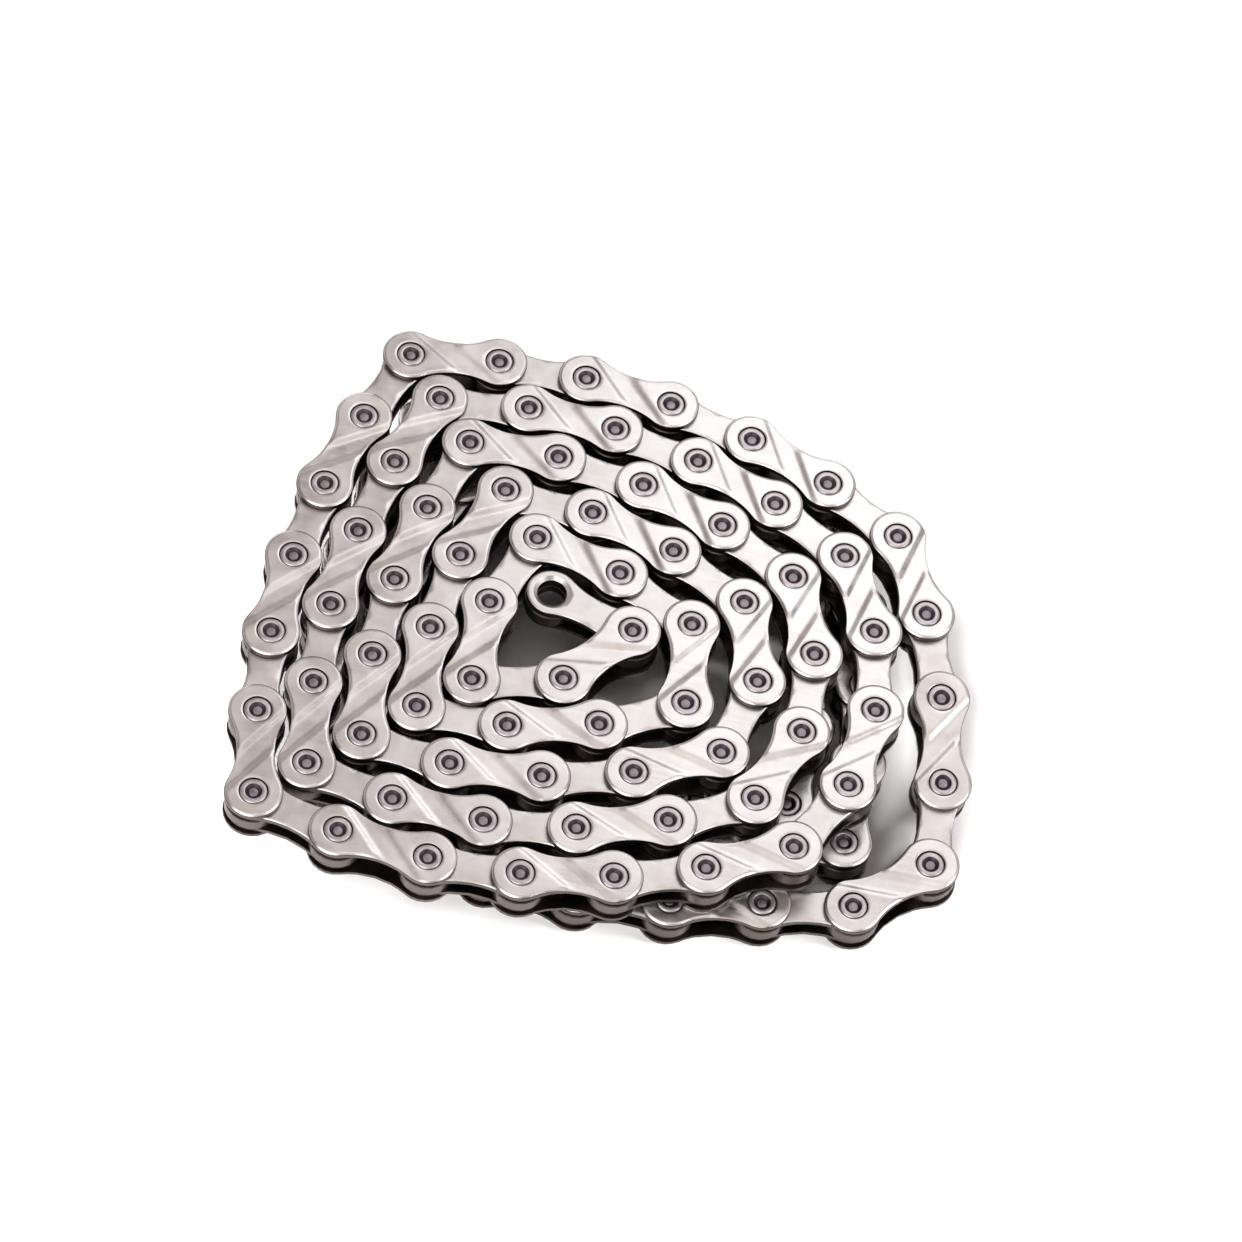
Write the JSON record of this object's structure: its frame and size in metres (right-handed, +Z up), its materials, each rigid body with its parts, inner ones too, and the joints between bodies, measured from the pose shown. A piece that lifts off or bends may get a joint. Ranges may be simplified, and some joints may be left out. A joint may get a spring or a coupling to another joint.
{
  "type": "roller chain",
  "caption": "Half-inch pitch bicycle roller chain laid flat on its side and coiled in two layers, with its open inner-link end lying in the middle.",
  "frame": {"origin": "bottom centre of the coiled chain's bounding box, on the surface it lies on", "axes": "+X along the coil's longest side, +Y across it, +Z up, along every pin"},
  "size_m": [0.1038, 0.0894, 0.0121],
  "materials": {
    "outer_plate": "polished nickel-plated steel",
    "inner_plate": "smooth nickel-plated steel",
    "roller": "smooth hardened steel",
    "pin": "ground steel with a peened head",
    "joined_links": "polished nickel-plated steel"
  },
  "bodies": {
    "inner_coil": {"link_2_outer_plate_top": "outer_plate", "link_2_outer_plate_bottom": "outer_plate", "link_2_pin_1": "pin", "link_2_pin_2": "pin", "link_3_inner_plate_top": "inner_plate", "link_3_inner_plate_bottom": "inner_plate", "link_4_outer_plate_top": "outer_plate", "link_4_outer_plate_bottom": "outer_plate", "link_4_pin_1": "pin", "link_4_pin_2": "pin", "link_5_inner_plate_top": "inner_plate", "link_5_inner_plate_bottom": "inner_plate", "link_6_outer_plate_top": "outer_plate", "link_6_outer_plate_bottom": "outer_plate", "link_6_pin_1": "pin", "link_6_pin_2": "pin", "coil_links_7_8": "joined_links", "coil_links_9_10": "joined_links", "coil_links_11_12": "joined_links", "coil_links_13_14": "joined_links", "coil_links_15_16": "joined_links", "coil_links_17_18": "joined_links", "coil_links_19_20": "joined_links", "coil_links_21_22": "joined_links", "coil_links_23_24": "joined_links", "coil_links_25_26": "joined_links", "coil_links_27_28": "joined_links", "coil_links_29_30": "joined_links", "coil_links_31_32": "joined_links", "coil_links_33_34": "joined_links", "coil_links_35_36": "joined_links", "coil_links_37_38": "joined_links", "coil_links_39_40": "joined_links", "coil_links_41_42": "joined_links", "coil_links_43_44": "joined_links", "coil_links_45_46": "joined_links", "coil_links_47_48": "joined_links", "coil_links_49_50": "joined_links", "coil_links_51_52": "joined_links", "coil_links_53_54": "joined_links"},
    "free_link": {"link_1_inner_plate_top": "inner_plate", "link_1_inner_plate_bottom": "inner_plate"},
    "link_1_roller_1": {"link_1_roller_1": "roller"},
    "link_1_roller_2": {"link_1_roller_2": "roller"},
    "link_3_roller_1": {"link_3_roller_1": "roller"},
    "link_3_roller_2": {"link_3_roller_2": "roller"},
    "link_5_roller_1": {"link_5_roller_1": "roller"},
    "link_5_roller_2": {"link_5_roller_2": "roller"},
    "outer_turn_55_56": {"outer_turn_links_55_56": "joined_links"},
    "outer_turn_57_58": {"outer_turn_links_57_58": "joined_links"},
    "outer_turn_59_60": {"outer_turn_links_59_60": "joined_links"},
    "outer_turn_61_62": {"outer_turn_links_61_62": "joined_links"},
    "outer_turn_63_64": {"outer_turn_links_63_64": "joined_links"},
    "outer_turn_65_66": {"outer_turn_links_65_66": "joined_links"},
    "outer_turn_67_68": {"outer_turn_links_67_68": "joined_links"},
    "outer_turn_69_70": {"outer_turn_links_69_70": "joined_links"},
    "crossing": {"crossing_links_71_78": "joined_links"},
    "lower_coil": {"lower_coil_links_79_90": "joined_links", "lower_coil_links_91_102": "joined_links", "lower_coil_links_103_116": "joined_links"}
  },
  "joints": [
    {"name": "free_link_swing", "type": "hinge", "parent": "inner_coil", "child": "free_link", "pos_m": [0.00088, 0.001, 0.00907], "axis": [0, 0, 1], "range_deg": [-5, 12]},
    {"name": "link_1_roller_1_spin", "type": "hinge", "parent": "free_link", "child": "link_1_roller_1", "pos_m": [-0.01119, 0.00492, 0.00907], "axis": [0, 0, 1], "continuous": true},
    {"name": "link_1_roller_2_spin", "type": "hinge", "parent": "free_link", "child": "link_1_roller_2", "pos_m": [0.00088, 0.001, 0.00907], "axis": [0, 0, 1], "continuous": true},
    {"name": "link_3_roller_1_spin", "type": "hinge", "parent": "inner_coil", "child": "link_3_roller_1", "pos_m": [-0.00711, -0.00887, 0.00907], "axis": [0, 0, 1], "continuous": true},
    {"name": "link_3_roller_2_spin", "type": "hinge", "parent": "inner_coil", "child": "link_3_roller_2", "pos_m": [-0.01943, -0.01195, 0.00907], "axis": [0, 0, 1], "continuous": true},
    {"name": "link_5_roller_1_spin", "type": "hinge", "parent": "inner_coil", "child": "link_5_roller_1", "pos_m": [-0.01943, 0.00075, 0.00907], "axis": [0, 0, 1], "continuous": true},
    {"name": "link_5_roller_2_spin", "type": "hinge", "parent": "inner_coil", "child": "link_5_roller_2", "pos_m": [-0.01488, 0.01261, 0.00907], "axis": [0, 0, 1], "continuous": true},
    {"name": "outer_turn_opens", "type": "hinge", "parent": "inner_coil", "child": "outer_turn_55_56", "pos_m": [0.01728, -0.03331, 0.00907], "axis": [0, 0, 1], "range_deg": [0, 30]},
    {"name": "outer_turn_57_58_hinge", "type": "hinge", "parent": "outer_turn_55_56", "child": "outer_turn_57_58", "pos_m": [-0.00715, -0.04003, 0.00907], "axis": [0, 0, 1], "range_deg": [-1, 22.61]},
    {"name": "outer_turn_59_60_hinge", "type": "hinge", "parent": "outer_turn_57_58", "child": "outer_turn_59_60", "pos_m": [-0.03247, -0.03941, 0.00907], "axis": [0, 0, 1], "range_deg": [-1, 61.35]},
    {"name": "outer_turn_61_62_hinge", "type": "hinge", "parent": "outer_turn_59_60", "child": "outer_turn_61_62", "pos_m": [-0.047, -0.02383, 0.00907], "axis": [0, 0, 1], "range_deg": [-1, 56.51]},
    {"name": "outer_turn_63_64_hinge", "type": "hinge", "parent": "outer_turn_61_62", "child": "outer_turn_63_64", "pos_m": [-0.04744, 0.00153, 0.00907], "axis": [0, 0, 1], "range_deg": [-1, 16.15]},
    {"name": "outer_turn_65_66_hinge", "type": "hinge", "parent": "outer_turn_63_64", "child": "outer_turn_65_66", "pos_m": [-0.0426, 0.02643, 0.00907], "axis": [0, 0, 1], "range_deg": [-1, 53.15]},
    {"name": "outer_turn_67_68_hinge", "type": "hinge", "parent": "outer_turn_65_66", "child": "outer_turn_67_68", "pos_m": [-0.02571, 0.04035, 0.00907], "axis": [0, 0, 1], "range_deg": [-1, 56.38]},
    {"name": "outer_turn_69_70_hinge", "type": "hinge", "parent": "outer_turn_67_68", "child": "outer_turn_69_70", "pos_m": [-0.00039, 0.03929, 0.00907], "axis": [0, 0, 1], "range_deg": [-1, 20.45]},
    {"name": "crossing_hinge", "type": "hinge", "parent": "outer_turn_69_70", "child": "crossing", "pos_m": [0.02377, 0.03162, 0.00907], "axis": [0, 0, 1], "range_deg": [-1, 37.54]},
    {"name": "lower_coil_swing", "type": "hinge", "parent": "crossing", "child": "lower_coil", "pos_m": [0.01346, -0.03618, 0.00307], "axis": [0, 0, 1], "range_deg": [0, 145]}
  ],
  "couplings": [
    {"joint": "outer_turn_57_58_hinge", "follows": "outer_turn_opens", "ratio": 0.55814},
    {"joint": "outer_turn_59_60_hinge", "follows": "outer_turn_opens", "ratio": 1.515},
    {"joint": "outer_turn_61_62_hinge", "follows": "outer_turn_opens", "ratio": 1.3953},
    {"joint": "outer_turn_63_64_hinge", "follows": "outer_turn_opens", "ratio": 0.39867},
    {"joint": "outer_turn_65_66_hinge", "follows": "outer_turn_opens", "ratio": 1.3123},
    {"joint": "outer_turn_67_68_hinge", "follows": "outer_turn_opens", "ratio": 1.392},
    {"joint": "outer_turn_69_70_hinge", "follows": "outer_turn_opens", "ratio": 0.50498},
    {"joint": "crossing_hinge", "follows": "outer_turn_opens", "ratio": 0.92691}
  ]
}
